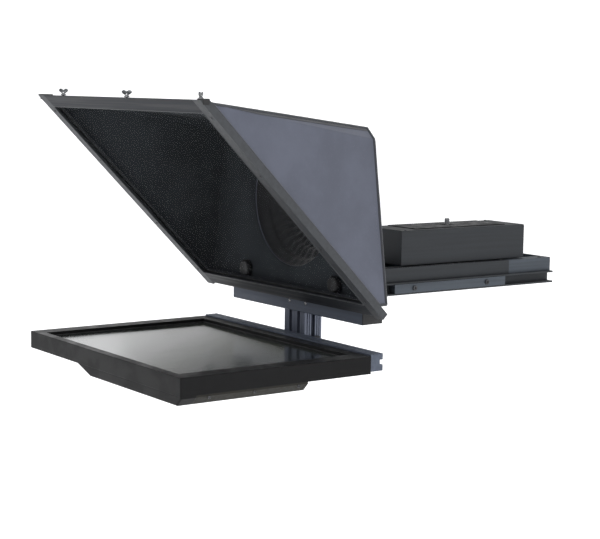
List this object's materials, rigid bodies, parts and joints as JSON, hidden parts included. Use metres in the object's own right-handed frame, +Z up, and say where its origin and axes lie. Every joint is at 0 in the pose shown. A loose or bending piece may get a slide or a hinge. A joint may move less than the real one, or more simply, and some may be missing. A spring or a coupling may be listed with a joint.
{
  "type": "teleprompter",
  "caption": "Camera teleprompter: a face-up monitor under a tilting beam-splitter glass with a dark cloth hood, on a rail base with a sliding camera support.",
  "frame": {"origin": "mouth of the tripod socket, centre of the tripod plate's underside", "axes": "+Z up, -Y towards the presenter, +X to the right as seen from in front of the object"},
  "size_m": [0.522, 0.929, 0.4913],
  "materials": {
    "dark_anodised": "satin anodised",
    "grey_anodised": "satin anodised",
    "hood_cloth": "felted cloth on stiff board",
    "shroud_cloth": "soft black cloth",
    "monitor_shell": "fine textured",
    "housing_shell": "satin paint",
    "display": "semi-gloss screen",
    "splitter_glass": "coated",
    "steel": "turned",
    "chrome": "polished",
    "black_knob": "moulded",
    "rubber": "matt",
    "circuit_board": "soldered",
    "diffuser": "matt"
  },
  "bodies": {
    "base": {"rail_left": "dark_anodised", "rail_right": "dark_anodised", "side_plate_left": "grey_anodised", "side_plate_right": "grey_anodised", "side_plate_bolts": "steel", "tripod_plate": "dark_anodised", "tripod_bush": "steel", "rear_cross_bar": "dark_anodised", "platform_front": "dark_anodised", "platform_rear": "grey_anodised", "platform_screws": "steel", "front_beam": "grey_anodised", "beam_bolts": "steel", "post": "grey_anodised", "hinge_yokes": "dark_anodised", "hinge_pins": "steel"},
    "glass_frame": {"bottom_bar": "dark_anodised", "top_bar": "dark_anodised", "side_bar_left": "dark_anodised", "side_bar_right": "dark_anodised", "beam_splitter_glass": "splitter_glass", "glass_gasket": "rubber", "corner_plates": "steel", "hood_top": "hood_cloth", "hood_side_left": "hood_cloth", "hood_side_right": "hood_cloth", "hood_rear": "hood_cloth", "shroud_hoop": "dark_anodised", "lens_shroud": "shroud_cloth", "hood_clamp_plates": "steel"},
    "monitor": {"bezel": "monitor_shell", "back_cover": "monitor_shell", "display_panel": "display", "backlight": "diffuser", "electronics_housing": "housing_shell", "control_bar": "monitor_shell", "driver_board": "circuit_board", "power_board": "circuit_board", "dc_socket": "black_knob", "bnc_socket": "chrome", "rear_rail": "grey_anodised", "carriage": "dark_anodised", "carriage_bolts": "steel"},
    "camera_slide": {"slide_plate": "grey_anodised", "riser": "dark_anodised", "camera_pad": "rubber"},
    "tilt_knob": {"tilt_knob": "black_knob"},
    "hood_knob_left": {"hood_knob_left": "black_knob"},
    "hood_knob_right": {"hood_knob_right": "black_knob"},
    "thumb_screw_left": {"thumb_screw_left": "chrome"},
    "thumb_screw_middle": {"thumb_screw_middle": "chrome"},
    "thumb_screw_right": {"thumb_screw_right": "chrome"},
    "carriage_knob": {"carriage_knob": "black_knob"},
    "menu_button": {"menu_button": "black_knob"},
    "down_button": {"down_button": "black_knob"},
    "up_button": {"up_button": "black_knob"},
    "power_button": {"power_button": "black_knob"},
    "camera_screw": {"camera_screw": "steel"},
    "slide_lever": {"slide_lever": "black_knob"}
  },
  "joints": [
    {"name": "glass_tilt", "type": "hinge", "parent": "base", "child": "glass_frame", "pos_m": [0, -0.122, 0.009], "axis": [1, 0, 0], "range_deg": [-5, 45]},
    {"name": "monitor_height", "type": "slide", "parent": "base", "child": "monitor", "axis": [0, 0, 1], "range_m": [-0.03, 0.03]},
    {"name": "camera_slide_fore_aft", "type": "slide", "parent": "base", "child": "camera_slide", "axis": [0, 1, 0], "range_m": [-0.1, 0.07]},
    {"name": "slide_lever_turn", "type": "hinge", "parent": "base", "child": "slide_lever", "pos_m": [-0.066, 0.15, 0.0345], "axis": [1, 0, 0], "range_deg": [0, 60]},
    {"name": "tilt_knob_turn", "type": "hinge", "parent": "base", "child": "tilt_knob", "pos_m": [0.166, -0.122, 0.009], "axis": [1, 0, 0], "continuous": true},
    {"name": "hood_knob_left_turn", "type": "hinge", "parent": "glass_frame", "child": "hood_knob_left", "pos_m": [-0.132, -0.14, 0.038], "axis": [0, 1, 0], "continuous": true},
    {"name": "hood_knob_right_turn", "type": "hinge", "parent": "glass_frame", "child": "hood_knob_right", "pos_m": [0.132, -0.14, 0.038], "axis": [0, 1, 0], "continuous": true},
    {"name": "thumb_left_turn", "type": "hinge", "parent": "glass_frame", "child": "thumb_screw_left", "pos_m": [-0.189, -0.474, 0.3408], "axis": [0, 0, 1], "continuous": true},
    {"name": "thumb_middle_turn", "type": "hinge", "parent": "glass_frame", "child": "thumb_screw_middle", "pos_m": [0.027, -0.474, 0.3408], "axis": [0, 0, 1], "continuous": true},
    {"name": "thumb_right_turn", "type": "hinge", "parent": "glass_frame", "child": "thumb_screw_right", "pos_m": [0.245, -0.474, 0.3408], "axis": [0, 0, 1], "continuous": true},
    {"name": "carriage_knob_turn", "type": "hinge", "parent": "monitor", "child": "carriage_knob", "pos_m": [0.035, -0.107, -0.085], "axis": [1, 0, 0], "continuous": true},
    {"name": "camera_screw_turn", "type": "hinge", "parent": "camera_slide", "child": "camera_screw", "pos_m": [0, 0.214, 0.11], "axis": [0, 0, 1], "continuous": true},
    {"name": "power_press", "type": "slide", "parent": "monitor", "child": "power_button", "axis": [0, 0, 1], "range_m": [0, 0.0008], "stiffness_N_per_m": 800, "springref_m": -0.0008},
    {"name": "menu_press", "type": "slide", "parent": "monitor", "child": "menu_button", "axis": [0, 0, 1], "range_m": [0, 0.0008], "stiffness_N_per_m": 800, "springref_m": -0.0008},
    {"name": "down_press", "type": "slide", "parent": "monitor", "child": "down_button", "axis": [0, 0, 1], "range_m": [0, 0.0008], "stiffness_N_per_m": 800, "springref_m": -0.0008},
    {"name": "up_press", "type": "slide", "parent": "monitor", "child": "up_button", "axis": [0, 0, 1], "range_m": [0, 0.0008], "stiffness_N_per_m": 800, "springref_m": -0.0008}
  ]
}
